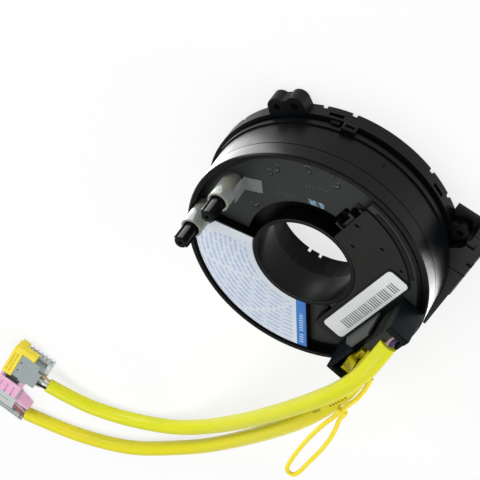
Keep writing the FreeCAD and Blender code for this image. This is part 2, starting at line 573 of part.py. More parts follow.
# Lock tab: a small angled piece on the deck's edge, over the window in the floor
def lock_tab():
    high = DECK - 0.4
    bar = box(0.0, 3.8, LOCK_Y + 5.8, LOCK_Y + 7.0, high - 2.2, high)
    strip = box(0.0, 1.4, LOCK_Y - 1.2, LOCK_Y + 7.0, high - 1.4, high - 0.2)
    foot = box(0.0, 3.2, LOCK_Y - 2.6, LOCK_Y - 1.2, FLOOR_HEIGHT, high - 0.2)
    return fuse(bar, strip, foot)


# Clear tape tail from the first post's sleeve down to the floor
def clear_tape():
    x, y = POSTS[0]
    near = POST_SLEEVE_RADIUS + 0.05
    low = FLOOR_HEIGHT
    outline = [(near + 8.6, low), (near + 0.5, low), (near, low + 0.5), (near, low + 9.6), (near + 0.3, low + 9.6),
               (near + 0.3, low + 0.7), (near + 0.7, low + 0.3), (near + 8.6, low + 0.3)]
    corners = [Vector(u, -3.4, z) for u, z in outline]
    band = Part.Face(Part.makePolygon(corners + [corners[0]])).extrude(Vector(0, 6.8, 0))
    band.rotate(ORIGIN, UP, -140.6)
    band.translate(Vector(x, y, 0))
    return band


# The room that the two sleeves take in the tower, in the rotor's own frame
def lead_seats():
    seats = []
    for route in (LEAD_1, LEAD_2):
        back = (Vector(*route[0]) - Vector(*route[1])).normalize()
        points = [tuple(Vector(*route[0]) + back * 0.3)] + list(route[1:5])
        seats.append(turned(cord_tube(points, LEAD_DIAMETER + 2 * LEAD_SEAT_GAP, "lead seat"), -ROTOR_ANGLE))
    return seats


# Lead tower on the rotor face: near wall, outer wall, back wall and inner wall round an open channel
def lead_tower():
    near = prism([(TOWER_LEFT, TOWER_NEAR), (TOWER_RIGHT, TOWER_NEAR), (TOWER_RIGHT, TOWER_NEAR + TOWER_NEAR_WALL),
                  (TOWER_LEFT, TOWER_NEAR + TOWER_NEAR_WALL)], DECK, TOWER_TOP)
    near = near.makeFillet(0.9, edges_at(near, TOWER_TOP))
    inside = TOWER_LEFT + TOWER_WALL
    outer_high = box(TOWER_LEFT, inside, TOWER_NEAR + 1, TOWER_OUTER_STEP_Y, DECK, TOWER_TOP - 1.6)
    outer_low = box(TOWER_LEFT, inside, TOWER_NEAR + 1, TOWER_BACK_Y, DECK, TOWER_OUTER_LOW_TOP)
    back_inside = TOWER_BACK_Y - TOWER_BACK_WALL
    back = box(TOWER_LEFT + 1.2, TOWER_INNER_X, back_inside, TOWER_BACK_Y, DECK, TOWER_BACK_TOP)
    inner = box(TOWER_INNER_X - TOWER_WALL, TOWER_INNER_X, TOWER_INNER_START, TOWER_BACK_Y, DECK, TOWER_BACK_TOP)
    foot = box(TOWER_LEFT, TOWER_FOOT_X, TOWER_NEAR, TOWER_BACK_Y, DECK, DECK + TOWER_FOOT)
    body = near.multiFuse([outer_high, outer_low, back, inner, foot])
    body = body.common(disc(RIM_RADIUS - 0.3, DECK, TOWER_TOP + 1))
    return body.cut(lead_seats()).removeSplitter()


# Ribbed terminal comb that stands on the tower's inner side
def tower_comb():
    x1 = TOWER_RIGHT - 0.1
    y0 = TOWER_NEAR + TOWER_NEAR_WALL
    low = DECK + TOWER_FOOT
    body = box(x1 - COMB_THICKNESS, x1 - COMB_RIB_DEPTH, y0, COMB_BACK, low, COMB_TOP)
    pitch = (COMB_BACK - y0) / COMB_RIBS
    ribs = [box(x1 - COMB_THICKNESS, x1, y0 + (i + 0.25) * pitch, y0 + (i + 0.75) * pitch, low, COMB_TOP - 0.6)
            for i in range(COMB_RIBS)]
    return fuse(body, *ribs).cut(lead_seats()).removeSplitter()


# Grey insert in front of the inner wall, with its sloping back edge
def tower_insert():
    x1 = TOWER_INNER_X + INSERT_THICKNESS
    low = DECK + TOWER_FOOT
    outline = [(COMB_BACK - 5.0, low), (18.0, low), (13.0, low + 7.5), (TOWER_INNER_START - 1.0, low + 13.8),
               (COMB_BACK - 4.5, low + 13.8)]
    corners = [Vector(TOWER_INNER_X, y, z) for y, z in outline]
    face = Part.Face(Part.makePolygon(corners + [corners[0]]))
    return face.extrude(Vector(INSERT_THICKNESS, 0, 0))


# Yellow retainer plate in front of the back wall
def yellow_retainer():
    y1 = TOWER_BACK_Y - TOWER_BACK_WALL
    low = DECK + TOWER_FOOT
    x0 = TOWER_LEFT + TOWER_WALL + 0.2
    outline = [(0.0, 0.0), (2.8, 0.0), (4.4, 4.5), (4.8, 11.0), (0.2, 11.0)]
    corners = [Vector(x0 + x, y1, low + z) for x, z in outline]
    face = Part.Face(Part.makePolygon(corners + [corners[0]]))
    plate = face.extrude(Vector(0, -RETAINER_THICKNESS, 0))
    rail = box(x0, x0 + 2.6, y1 - 8.0, y1, low, low + 2.4)
    return fuse(plate, rail)


# A cord's path: straight runs joined by tangent arcs that are as large as the runs allow
def cord_path(points, name):
    points = [Vector(*p) for p in points]
    edges = []
    radii = []
    start = points[0]
    for before, corner, after in zip(points, points[1:], points[2:]):
        a = before - corner
        b = after - corner
        turn = math.pi - a.getAngle(b)
        reach = 0.45 * min(a.Length, b.Length)
        radii.append(reach / math.tan(turn / 2))
        a.normalize()
        b.normalize()
        first = corner + a * reach
        last = corner + b * reach
        bisector = (a + b).normalize()
        centre_distance = radii[-1] / math.cos(turn / 2)
        middle = corner + bisector * (centre_distance - radii[-1])
        edges.append(Part.LineSegment(start, first).toShape())
        edges.append(Part.Arc(first, middle, last).toShape())
        start = last
    edges.append(Part.LineSegment(start, points[-1]).toShape())
    path = Part.Wire(edges)
    print(name, "length %.1f" % path.Length, "smallest radius %.1f" % min(radii),
          "radii", " ".join("%.0f" % r for r in radii))
    return path


def cord_tube(points, diameter, name):
    path = cord_path(points, name)
    start = Vector(*points[0])
    direction = Vector(*points[1]) - start
    circle = Part.Wire(Part.makeCircle(diameter / 2, start, direction))
    tube = path.makePipeShell([circle], True, True)
    if tube.ShapeType != "Solid":
        tube = tube.Solids[0]
    wanted = path.Length * math.pi * diameter ** 2 / 4
    print(name, "volume %.1f" % tube.Volume, "section times length %.1f" % wanted)
    return tube


# Routes of the two leads, from the tower down to the table behind the body, chosen by hand
LEAD_1 = [(-48.0, -3.8, 50.0), (-47.4, 2.8, 53.4), (-46.8, 12.2, 55.5), (-44.1, 27.6, 55.7), (-38.7, 49.4, 51.5),
          (-30.4, 84.0, 41.3), (-20.1, 125.4, 27.2), (-7.9, 166.7, 13.0), (7.3, 197.0, 5.8), (23.2, 212.6, 4.1),
          (41.2, 224.2, 4.0), (61.5, 229.4, 6.4), (81.5, 227.6, 9.2)]
LEAD_2 = [(-47.0, 11.8, 43.6), (-46.8, 20.4, 46.4), (-46.9, 34.6, 47.7), (-45.4, 50.8, 46.8), (-40.9, 78.2, 42.0),
          (-32.8, 115.6, 31.0), (-22.5, 157.0, 17.6), (-9.9, 194.6, 7.7), (5.3, 220.5, 4.1), (21.9, 241.0, 4.0),
          (41.4, 255.1, 4.0), (64.1, 266.4, 4.0), (86.4, 273.0, 4.1)]

# Short wires from a sleeve's end down to the tower's foot; the first number is the offset across the sleeve
WIRE_PITCH = 2.0
TOWER_WIRES_1 = [(-46.6, -16.8, 47.6), (-46.5, -18.2, 42.0), (-46.5, -18.2, DECK + TOWER_FOOT)]
TOWER_WIRES_2 = [(-47.2, -1.4, 41.6), (-46.6, -3.4, 38.4), (-46.6, -3.4, DECK + TOWER_FOOT)]


def rotor_point(x, y, z):
    angle = math.radians(ROTOR_ANGLE)
    return Vector(x * math.cos(angle) - y * math.sin(angle), x * math.sin(angle) + y * math.cos(angle), z)


def sleeve_end(route, first):
    if first:
        return Vector(*route[0]), (Vector(*route[0]) - Vector(*route[1])).normalize()
    return Vector(*route[-1]), (Vector(*route[-1]) - Vector(*route[-2])).normalize()


def across(direction):
    return Vector(direction.y, -direction.x, 0).normalize()


def tower_wire(route, rest, offset, name):
    end, out = sleeve_end(route, True)
    start = end + across(out) * offset
    points = [start, start + out * 2.6] + [rotor_point(*p) - Vector(offset, 0, 0) for p in rest]
    return cord_tube([(p.x, p.y, p.z) for p in points], WIRE_DIAMETER, name)


# Where a plug lies: the middle of its back edge, its turn about Z, and its roll about its own length
PLUG_A_SEAT = (Vector(87.3, 227.2, 3.17), -2.3, 20.0)
PLUG_B_SEAT = (Vector(95.0, 266.7, 0.25), -4.0, 0.0)


def place(shape, seat):
    origin, angle, roll = seat
    copy = shape.copy()
    copy.rotate(ORIGIN, Vector(1, 0, 0), roll)
    copy.rotate(ORIGIN, UP, angle)
    copy.translate(origin)
    return copy


def plug_point(seat, x, y, z):
    return place(Part.Vertex(x, y, z), seat).Point


def plug_wire(route, seat, start_offset, entry, name):
    end, out = sleeve_end(route, False)
    side = plug_point(seat, 0, 1, 0) - plug_point(seat, 0, 0, 0)
    start = end + (side - out * side.dot(out)) * start_offset
    y, z = entry
    points = [start, start + out * 1.4, plug_point(seat, -1.2, y, z), plug_point(seat, PLUG_ENTRY_DEPTH, y, z)]
    return cord_tube([(p.x, p.y, p.z) for p in points], WIRE_DIAMETER, name)


# Plugs: a body with wire entries at the back, a nose with the mouth, a light frame, and a lock that slides on the nose
PLUG_ENTRY_DEPTH = 2.5
PLUG_A_ENTRIES = ((5.8, 5.6), (2.3, 5.6), (-1.2, 5.6))
PLUG_B_ENTRIES = ((5.6, 4.4), (3.0, 4.4))
PLUG_A_SPREAD = 2.7
PLUG_A_NOSE = 5.6
PLUG_B_SPREAD = 1.2
PLUG_B_NOSE = 10.0
PLUG_B_NOSE_START = 3.4
PLUG_B_NOSE_WIDTH = 10.4
NOSE_INSET = 0.95


def wire_bores(entries):
    radius = WIRE_DIAMETER / 2 + FACE_GAP
    return [Part.makeCylinder(radius, PLUG_ENTRY_DEPTH + 1.1, Vector(-1, y, z), Vector(1, 0, 0)) for y, z in entries]


def plug_a_body():
    half = PLUG_A_WIDTH / 2
    body = box(0, PLUG_A_LENGTH, -half, half, 0.0, PLUG_A_HEIGHT)
    uprights = [e for e in body.Edges if e.BoundBox.ZLength > PLUG_A_HEIGHT / 2]
    body = body.makeFillet(0.8, uprights)
    side = half - NOSE_INSET
    low = NOSE_INSET
    high = PLUG_A_HEIGHT - NOSE_INSET
    end = PLUG_A_LENGTH + PLUG_A_NOSE
    nose = box(PLUG_A_LENGTH - 1, end, -side, side, low, high)
    mouth = box(PLUG_A_LENGTH + 0.6, end + 1, PLUG_WALL - side, side - PLUG_WALL, low + PLUG_WALL, high - PLUG_WALL)
    tab = box(5.0, 10.0, half - 1, half + 2.2, PLUG_A_HEIGHT - 4.2, PLUG_A_HEIGHT - 1.4)
    step = box(-1.0, 2.2, -half - 1, half - 11.0, PLUG_A_HEIGHT - 1.2, PLUG_A_HEIGHT + 1)
    dimples = [Part.makeCylinder(0.55, 2.0, Vector(PLUG_A_LENGTH - 1.5, y, PLUG_A_HEIGHT - 1)) for y in (-2.6, 2.8)]
    return body.multiFuse([nose, tab]).cut([mouth, step] + wire_bores(PLUG_A_ENTRIES) + dimples).removeSplitter()


def plug_a_cover():
    side = -PLUG_A_WIDTH / 2
    plate = box(-2.4, PLUG_A_LENGTH - 0.4, side - 1.6, side, 0.4, 4.4)
    ribs = [box(x, x + 0.9, side - 2.6, side - 1.5, 0.4, 4.4) for x in (-2.4, 0.4, 3.2, 6.0, 8.8, 11.6)]
    back = box(-2.4, 0.0, side - 1.6, side + 4.0, 0.4, 6.4)
    far = box(-2.0, 0.0, -side - 2.0, -side + 1.6, 0.4, 3.6)
    foot = box(-2.4, 0.0, side + 2.0, -side - 1.0, 0.4, 1.4)
    ledge = box(-0.5, 6.5, -side, -side + 1.6, 0.4, 3.4)
    return fuse(plate, back, far, foot, ledge, *ribs)


def lock_cap(start, end, half, height, flare):
    body = box(start, end, -half - flare, half + flare, -0.2, height + 0.2)
    body = body.makeFillet(0.8, [e for e in body.Edges if e.BoundBox.XMin > end - 1e-3])
    side = half - NOSE_INSET + PLUG_SLIDE_GAP
    hollow = box(start - 1, end + 1, -side, side, NOSE_INSET - PLUG_SLIDE_GAP, height - NOSE_INSET + PLUG_SLIDE_GAP)
    return body.cut(hollow)


def plug_a_lock():
    half = PLUG_A_WIDTH / 2
    start = PLUG_A_LENGTH + PLUG_SLIDE_GAP
    end = PLUG_A_LENGTH + PLUG_A_NOSE + 0.6
    body = lock_cap(start, end, half, PLUG_A_HEIGHT, 1.4)
    arm = box(6.6, start + 1.5, -half - 3.6, -half - PLUG_SLIDE_GAP, 4.7, PLUG_A_HEIGHT + 0.2)
    joint = box(start, end - 1.2, -half - 3.6, -half, 1.0, PLUG_A_HEIGHT + 0.2)
    body = body.multiFuse([arm, joint])
    grips = [box(x, x + 0.6, 1.0 - half, half - 1.0, PLUG_A_HEIGHT - 0.4, PLUG_A_HEIGHT + 1) for x in (start + 2.0, start + 3.8)]
    return body.cut(grips).removeSplitter()


# Second plug: the wires enter along its length and its nose points sideways
def plug_b_body():
    half = PLUG_B_WIDTH / 2
    body = box(0, PLUG_B_LENGTH, -half, half, 0.0, PLUG_B_HEIGHT)
    body = body.makeFillet(0.8, [e for e in body.Edges if e.BoundBox.ZLength > PLUG_B_HEIGHT / 2])
    body = body.cut(box(-1.0, PLUG_B_LENGTH + 1, half - 4.0, half + 1, PLUG_B_HEIGHT - 2.2, PLUG_B_HEIGHT + 1))
    low = NOSE_INSET
    high = PLUG_B_HEIGHT - NOSE_INSET
    x0 = PLUG_B_NOSE_START
    x1 = x0 + PLUG_B_NOSE_WIDTH
    nose = box(x0, x1, -half - PLUG_B_NOSE, 1.0 - half, low, high)
    mouth = box(x0 + PLUG_WALL, x1 - PLUG_WALL, -half - PLUG_B_NOSE - 1, -half - 2.0, low + PLUG_WALL, high - PLUG_WALL)
    slot = box(4.0, 11.0, -2.2, -1.4, PLUG_B_HEIGHT - 0.6, PLUG_B_HEIGHT + 1)
    return body.fuse(nose).cut([mouth, slot] + wire_bores(PLUG_B_ENTRIES)).removeSplitter()


def plug_b_cover():
    half = PLUG_B_WIDTH / 2
    floor = box(-7.6, 0.0, -3.0, half, 0.3, 1.5)
    flange = box(-7.6, 12.0, half, half + 1.5, 0.3, 3.0)
    web = box(-7.6, 0.0, half - 0.2, half + 1.5, 0.3, 2.0)
    lid = box(-4.6, 0.0, -3.0, 0.2, 0.3, 5.6)
    return fuse(floor, flange, web, lid)


def plug_b_wing():
    half = PLUG_B_WIDTH / 2
    outline = [(0.0, -half), (-8.6, -3.6), (-8.6, -3.05), (0.0, -3.05)]
    return prism(outline, 0.6, 7.4)


def plug_b_lock():
    half = PLUG_B_WIDTH / 2
    width = PLUG_B_NOSE_WIDTH + 2 * NOSE_INSET
    start = half + PLUG_SLIDE_GAP
    end = half + PLUG_B_NOSE + 2.4
    body = lock_cap(start, end, width / 2, PLUG_B_HEIGHT, 1.25)
    grips = [box(start - 1, end - 2.4, y, y + 0.9, PLUG_B_HEIGHT - 0.7, PLUG_B_HEIGHT + 1) for y in (-4.4, -0.4, 3.5)]
    body = body.cut(grips)
    body.rotate(ORIGIN, UP, -90)
    body.translate(Vector(PLUG_B_NOSE_START + PLUG_B_NOSE_WIDTH / 2, 0, 0))
    return body.removeSplitter()


# Strap: a stem along the leads, a small clasp and a long loop
CLASP = (-52.4, -47.3, 46.9, 50.5, 50.7, 53.2)
STRAP_STEM = [(-51.9, 27.0, 44.4), (-52.5, 32.3, 47.0), (-51.8, 37.4, 50.4), (-49.9, 42.9, 51.9), (-49.9, 46.9, 51.9)]
STRAP_LOOP = [(-51.0, 50.5, 51.9), (-51.0, 53.7, 51.9), (-52.8, 62.9, 51.4), (-53.9, 76.5, 49.8), (-53.6, 90.2, 48.1),
              (-53.0, 102.0, 47.0), (-52.6, 111.6, 46.6), (-51.4, 117.2, 46.4), (-47.4, 117.2, 46.4),
              (-46.1, 111.6, 46.6), (-45.7, 101.0, 47.0), (-45.7, 88.2, 48.1), (-46.2, 74.6, 49.8),
              (-47.3, 62.0, 51.4), (-48.6, 54.3, 51.9), (-48.6, 50.5, 51.9)]


save(base_plate(), "stator_base")
save(housing(), "stator_housing")
save(harness_block(), "harness_block")
save(harness_cover(), "harness_cover")
save(harness_terminals(), "harness_terminals")
save(outer_end_block(), "outer_end_block")
save(inner_end_block(), "inner_end_block")
save(flat_cable(), "flat_cable")
save(on_rotor(rotor_face()), "rotor_face")
save(on_rotor(post_sleeve(*POSTS[0])), "post_sleeve_1")
save(on_rotor(post_sleeve(*POSTS[1])), "post_sleeve_2")
save(on_rotor(retaining_sleeve()), "retaining_sleeve")
save(on_rotor(cable_cover()), "cable_cover")
save(on_rotor(stripe_sticker()), "stripe_sticker")
save(on_rotor(face_sticker()), "face_sticker")
save(on_rotor(face_mark()), "face_mark")
save(on_rotor(lock_tab()), "lock_tab")
save(on_rotor(clear_tape()), "clear_tape")
save(on_rotor(lead_tower()), "lead_tower")
save(on_rotor(tower_comb()), "tower_comb")
save(on_rotor(tower_insert()), "tower_insert")
save(on_rotor(yellow_retainer()), "yellow_retainer")
save(cord_tube(LEAD_1, LEAD_DIAMETER, "lead_sleeve_1"), "lead_sleeve_1")
save(cord_tube(LEAD_2, LEAD_DIAMETER, "lead_sleeve_2"), "lead_sleeve_2")
save(tower_wire(LEAD_1, TOWER_WIRES_1, WIRE_PITCH / 2, "wire_violet"), "wire_violet")
save(tower_wire(LEAD_1, TOWER_WIRES_1, -WIRE_PITCH / 2, "wire_white"), "wire_white")
save(tower_wire(LEAD_2, TOWER_WIRES_2, WIRE_PITCH / 2, "wire_green"), "wire_green")
save(tower_wire(LEAD_2, TOWER_WIRES_2, -WIRE_PITCH / 2, "wire_blue"), "wire_blue")
for name, offset, entry in zip(("wire_black", "wire_light", "wire_tan"), (PLUG_A_SPREAD, 0.0, -PLUG_A_SPREAD), PLUG_A_ENTRIES):
    save(plug_wire(LEAD_1, PLUG_A_SEAT, offset, entry, name), name)
for name, offset, entry in zip(("wire_red", "wire_grey"), (PLUG_B_SPREAD, -PLUG_B_SPREAD), PLUG_B_ENTRIES):
    save(plug_wire(LEAD_2, PLUG_B_SEAT, offset, entry, name), name)
for name, shape in (("body", plug_a_body()), ("cover", plug_a_cover()), ("lock", plug_a_lock())):
    save(place(shape, PLUG_A_SEAT), "plug_a_" + name)
for name, shape in (("body", plug_b_body()), ("cover", plug_b_cover()), ("wing", plug_b_wing()), ("lock", plug_b_lock())):
    save(place(shape, PLUG_B_SEAT), "plug_b_" + name)
save(cord_tube(STRAP_STEM, STRAP_WIDTH, "strap_stem"), "strap_stem")
save(cord_tube(STRAP_LOOP, STRAP_WIDTH, "strap_loop"), "strap_loop")
save(box(*CLASP), "strap_clasp")
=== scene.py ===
import json
import math
import bpy
from mathutils import Matrix, Vector


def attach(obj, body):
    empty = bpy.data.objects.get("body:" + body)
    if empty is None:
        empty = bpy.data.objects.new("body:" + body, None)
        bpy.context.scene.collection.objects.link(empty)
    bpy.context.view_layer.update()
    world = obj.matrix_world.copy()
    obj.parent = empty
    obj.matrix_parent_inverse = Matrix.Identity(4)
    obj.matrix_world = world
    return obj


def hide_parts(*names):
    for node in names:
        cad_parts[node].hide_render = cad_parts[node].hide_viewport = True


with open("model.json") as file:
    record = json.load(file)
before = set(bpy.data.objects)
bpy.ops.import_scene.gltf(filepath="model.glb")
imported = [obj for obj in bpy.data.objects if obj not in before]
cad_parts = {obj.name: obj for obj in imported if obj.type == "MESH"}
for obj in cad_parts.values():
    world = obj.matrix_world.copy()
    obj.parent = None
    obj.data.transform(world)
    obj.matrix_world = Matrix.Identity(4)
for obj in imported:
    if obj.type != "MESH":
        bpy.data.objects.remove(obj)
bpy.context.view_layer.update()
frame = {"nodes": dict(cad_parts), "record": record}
NODES = frame["nodes"]
BODY_OF = {node: body for body, nodes in frame["record"]["behaviour"]["bodies"].items() for node in nodes}
MM = 0.001
TURN = math.radians(-11.5)      # how far the rotor's features stand turned from the stator's
CORNER_ANGLE = math.radians(40)  # edges sharper than this have their corners broken


def metres(point):
    return tuple(value * MM for value in point)


# Working with one piece at a time
def pick(piece):
    if bpy.context.mode != "OBJECT":
        bpy.ops.object.mode_set(mode="OBJECT")
    bpy.ops.object.select_all(action="DESELECT")
    piece.select_set(True)
    bpy.context.view_layer.objects.active = piece
    return piece


def finish_modifier(piece, kind, name, **settings):
    modifier = piece.modifiers.new(name, kind)
    for key, value in settings.items():
        setattr(modifier, key, value)
    pick(piece)
    bpy.ops.object.modifier_apply(modifier=modifier.name)
    return piece


def smooth(piece, degrees=35):
    pick(piece)
    bpy.ops.object.shade_smooth_by_angle(angle=math.radians(degrees))
    return piece


def break_corners(piece, width):
    return finish_modifier(piece, "BEVEL", "broken corners", width=width * MM, segments=2,
                           limit_method="ANGLE", angle_limit=CORNER_ANGLE, use_clamp_overlap=True)


def wear(piece, material):
    piece.data.materials.clear()
    piece.data.materials.append(material)
    return piece


def rest_on(piece, node):
    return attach(piece, BODY_OF[node])


# A rigid moulding: the CAD solid's own shape with its corners broken by a small radius
def moulding(node, edge, material, degrees=35):
    source = NODES[node]
    piece = source.copy()
    piece.data = source.data.copy()
    piece.parent = None
    for key in list(piece.keys()):
        del piece[key]
    piece.name = node + "_moulding"
    bpy.context.scene.collection.objects.link(piece)
    pick(piece)
    bpy.ops.object.mode_set(mode="EDIT")
    bpy.ops.mesh.select_all(action="SELECT")
    bpy.ops.mesh.remove_doubles(threshold=0.000002)
    bpy.ops.mesh.dissolve_limited(angle_limit=math.radians(0.8))
    bpy.ops.object.mode_set(mode="OBJECT")
    if edge:
        break_corners(piece, edge)
    smooth(piece, degrees)
    finish_modifier(piece, "WEIGHTED_NORMAL", "level faces", keep_sharp=True, weight=80)
    wear(piece, material)
    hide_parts(node)
    return rest_on(piece, node)


def keep_node(node, material):
    return wear(NODES[node], material)


# Any node of a material: its type, its settings, and the value or link of each of its sockets
def add_node(tree, kind, settings, sockets):
    node = tree.nodes.new("ShaderNode" + kind)
    for name, value in settings.items():
        setattr(node, name, value)
    for name, value in sockets.items():
        if isinstance(value, Field):
            tree.links.new(value.socket, node.inputs[name])
        elif isinstance(value, bpy.types.NodeSocket):
            tree.links.new(value, node.inputs[name])
        else:
            node.inputs[name].default_value = value
    return node


# Sums in a material, written as sums
class Field:
    def __init__(self, tree, socket):
        self.tree = tree
        self.socket = socket

    def step(self, operation, *others):
        node = add_node(self.tree, "Math", {"operation": operation}, dict(enumerate((self,) + others)))
        return Field(self.tree, node.outputs[0])

    def swapped(self, operation, first):
        node = add_node(self.tree, "Math", {"operation": operation}, {0: first, 1: self})
        return Field(self.tree, node.outputs[0])

    def __add__(self, other):
        return self.step("ADD", other)

    def __radd__(self, other):
        return self.swapped("ADD", other)

    def __sub__(self, other):
        return self.step("SUBTRACT", other)

    def __rsub__(self, other):
        return self.swapped("SUBTRACT", other)

    def __mul__(self, other):
        return self.step("MULTIPLY", other)

    def __rmul__(self, other):
        return self.swapped("MULTIPLY", other)

    def __truediv__(self, other):
        return self.step("DIVIDE", other)

    def __rtruediv__(self, other):
        return self.swapped("DIVIDE", other)

    def above(self, other):
        return self.step("GREATER_THAN", other)

    def below(self, other):
        return self.step("LESS_THAN", other)

    def wrap(self, size):
        return self.step("FLOORED_MODULO", size)

    def size(self):
        return self.step("ABSOLUTE")

    def within(self, middle, half):
        return (self - middle).size().below(half)

    def fade(self, low, high):
        node = add_node(self.tree, "MapRange", {"interpolation_type": "SMOOTHSTEP"},
                        {"Value": self, "From Min": low, "From Max": high})
        return Field(self.tree, node.outputs["Result"])


class Finish:
    """One material, with its surface shader and the place of each point in millimetres."""

    def __init__(self, name, colour, roughness, **settings):
        self.material = bpy.data.materials.new(name)
        self.material.use_nodes = True
        self.tree = self.material.node_tree
        self.shader = self.tree.nodes["Principled BSDF"]
        self.shader.inputs["Base Color"].default_value = (*colour, 1)
        self.shader.inputs["Roughness"].default_value = roughness
        for key, value in settings.items():
            self.shader.inputs[key.replace("_", " ").title().replace("Ior", "IOR")].default_value = value
        coordinates = self.node("TexCoord")
        self.place = self.node("VectorMath", {"operation": "SCALE"},
                               {0: coordinates.outputs["Object"], "Scale": 1 / MM}).outputs[0]
        split = self.node("SeparateXYZ", {}, {0: self.place})
        self.x, self.y, self.z = (Field(self.tree, socket) for socket in split.outputs)
        self.across = self.x * math.cos(TURN) + self.y * math.sin(TURN)
        self.along = self.y * math.cos(TURN) - self.x * math.sin(TURN)

    def node(self, kind, settings=None, sockets=None):
        return add_node(self.tree, kind, settings or {}, sockets or {})

    def noise(self, grain, detail=3.0, roughness=0.55):
        node = self.node("TexNoise", {}, {"Scale": 1 / grain, "Detail": detail, "Roughness": roughness,
                                          "Vector": self.place})
        return Field(self.tree, node.outputs[0])

    def streaks(self, width, length):
        angle = self.y.step("ARCTAN2", self.x) * (40.0 / width)
        join = self.node("CombineXYZ", {}, {0: angle, 1: self.z * (1.0 / length)})
        node = self.node("TexNoise", {}, {"Scale": 1.0, "Detail": 3.0, "Vector": join.outputs[0]})
        return Field(self.tree, node.outputs[0])

    def facing_up(self):
        split = self.node("SeparateXYZ", {}, {0: self.node("NewGeometry").outputs["Normal"]})
        return Field(self.tree, split.outputs[2]).fade(0.75, 0.95)

    def tint(self, amount, colour):
        base = self.shader.inputs["Base Color"]
        under = base.links[0].from_socket if base.links else base.default_value
        mix = self.node("Mix", {"data_type": "RGBA"}, {"Factor": amount, "A": under, "B": (*colour, 1)})
        self.tree.links.new(mix.outputs["Result"], base)
        return self

    def dull(self, amount):
        self.tree.links.new(amount.socket, self.shader.inputs["Roughness"])
        return self

    def grain(self, height, depth):
        bump = self.node("Bump", {}, {"Strength": 1.0, "Distance": depth * MM, "Height": height})
        self.tree.links.new(bump.outputs["Normal"], self.shader.inputs["Normal"])
        return self


def black_moulding(name, colour, shine=0.3, gloss=0.2, painted_top_light=None, where=None):
    finish = Finish(name, colour, shine, specular_ior_level=gloss)
    finish.tint(finish.noise(9.0).fade(0.35, 0.75) * 0.5, [c * 1.4 for c in colour])
    # Upward faces, within the where mask if one is given, are painted lighter: painted light falling from
    # above.
    if painted_top_light:
        painted_top_light_mask = finish.facing_up() if where is None else finish.facing_up() * where(finish)
        finish.tint(painted_top_light_mask, painted_top_light)
    speck = finish.noise(0.35, 2.0)
    finish.dull(speck * 0.12 + finish.noise(14.0) * 0.08 + (shine - 0.1))
    finish.grain(speck, 0.012)
    return finish


def plain_moulding(name, colour, shine=0.4, grain=0.3, depth=0.015, **settings):
    finish = Finish(name, colour, shine, **settings)
    finish.tint(finish.noise(5.0).fade(0.3, 0.8) * 0.35, [c * 0.78 for c in colour])
    speck = finish.noise(grain, 2.0)
    finish.dull(speck * 0.15 + (shine - 0.07))
    finish.grain(speck, depth)
    return finish.material


def distance_out(finish):
    return (finish.x * finish.x + finish.y * finish.y).step("SQRT")


# The rotor's floor inside its rim, above the drum and below the rim's top edge
FLOOR_EDGE = 51.6
FLOOR_LOW = 27.4
FLOOR_HIGH = 33.6


def open_floor(finish):
    inside = distance_out(finish).fade(FLOOR_EDGE, FLOOR_EDGE - 1.4)
    return inside * finish.z.fade(FLOOR_LOW, FLOOR_LOW + 0.6) * finish.z.fade(FLOOR_HIGH, FLOOR_HIGH - 0.3)


# Marks drawn on the open floor: small crescents, one row of dots and a fine double row
def crescent(finish, x, y, size, turn, highlight_offset=0.0):
    side = finish.x - (x + highlight_offset)
    up = finish.y - (y - highlight_offset)
    ring = ((side * side + up * up).step("SQRT") - size).size().below(0.36)
    leaning = side * math.cos(math.radians(turn)) + up * math.sin(math.radians(turn))
    return ring * leaning.above(-0.1)


def dotted_row(finish, x, y, lean, half_length, half_width, pitch):
    side = finish.x - x
    up = finish.y - y
    along = side * math.cos(lean) + up * math.sin(lean)
    across = up * math.cos(lean) - side * math.sin(lean)
    broken = (along * (1 / pitch) + (across * 1.3).step("SINE") * 0.3).wrap(1.0).below(0.5)
    return along.size().below(half_length) * across.size().below(half_width) * broken


# Place, size and the side that each crescent opens to, in degrees
CRESCENTS = ((30.6, -33.0, 1.7, 200), (19.0, -41.8, 1.8, 240), (6.0, -43.8, 1.6, 170),
             (32.0, -28.9, 1.3, 230), (30.9, -8.5, 1.6, 120), (9.5, -47.0, 1.3, 260))


# The offset moves the whole set aside, for the copy that is painted lighter as a painted highlight.
def floor_marks(finish, highlight_offset=0.0):
    marks = dotted_row(finish, 11.2 + highlight_offset, -35.7, 0.464, 4.9, 0.75, 1.3)
    marks = marks + dotted_row(finish, 20.8 + highlight_offset, -22.6, 0.371, 4.2, 0.4, 0.9) * 0.7
    marks = marks + dotted_row(finish, 20.4 + highlight_offset, -24.2, 0.371, 4.2, 0.4, 0.9) * 0.7
    for x, y, size, turn in CRESCENTS:
        marks = marks + crescent(finish, x, y, size, turn, highlight_offset)
    return marks


def face_black():
    # The last colour paints the open floor's upward faces lighter: a painted reflection of the white
    # surroundings.
    finish = black_moulding("rotor black", (0.0018, 0.0022, 0.0026), 0.28, 0.15, (0.026, 0.0285, 0.0275),
                            open_floor)
    floor = finish.facing_up() * open_floor(finish)
    # A copy moved a little aside is painted lighter, a painted highlight along the marks' edges; the marks
    # are then drawn dark over it.
    finish.tint(floor_marks(finish, 0.4) * floor * 0.8, (0.1, 0.105, 0.1))
    finish.tint(floor_marks(finish) * floor * 0.95, (0.001, 0.0012, 0.0014))
    pits = finish.noise(1.1, 2.0).fade(0.62, 0.7) * floor
    finish.tint(pits * 0.3, (0.045, 0.048, 0.045))
    return finish.material


# The bore is glossy, with draw marks down its wall, lighter streaks as painted sheen, a joint ring painted
# dark as painted shade in its gap with a painted highlight along the edge above, and a small latch outline
JOINT_HEIGHT = 19.2
LATCH_HEIGHT = 22.5


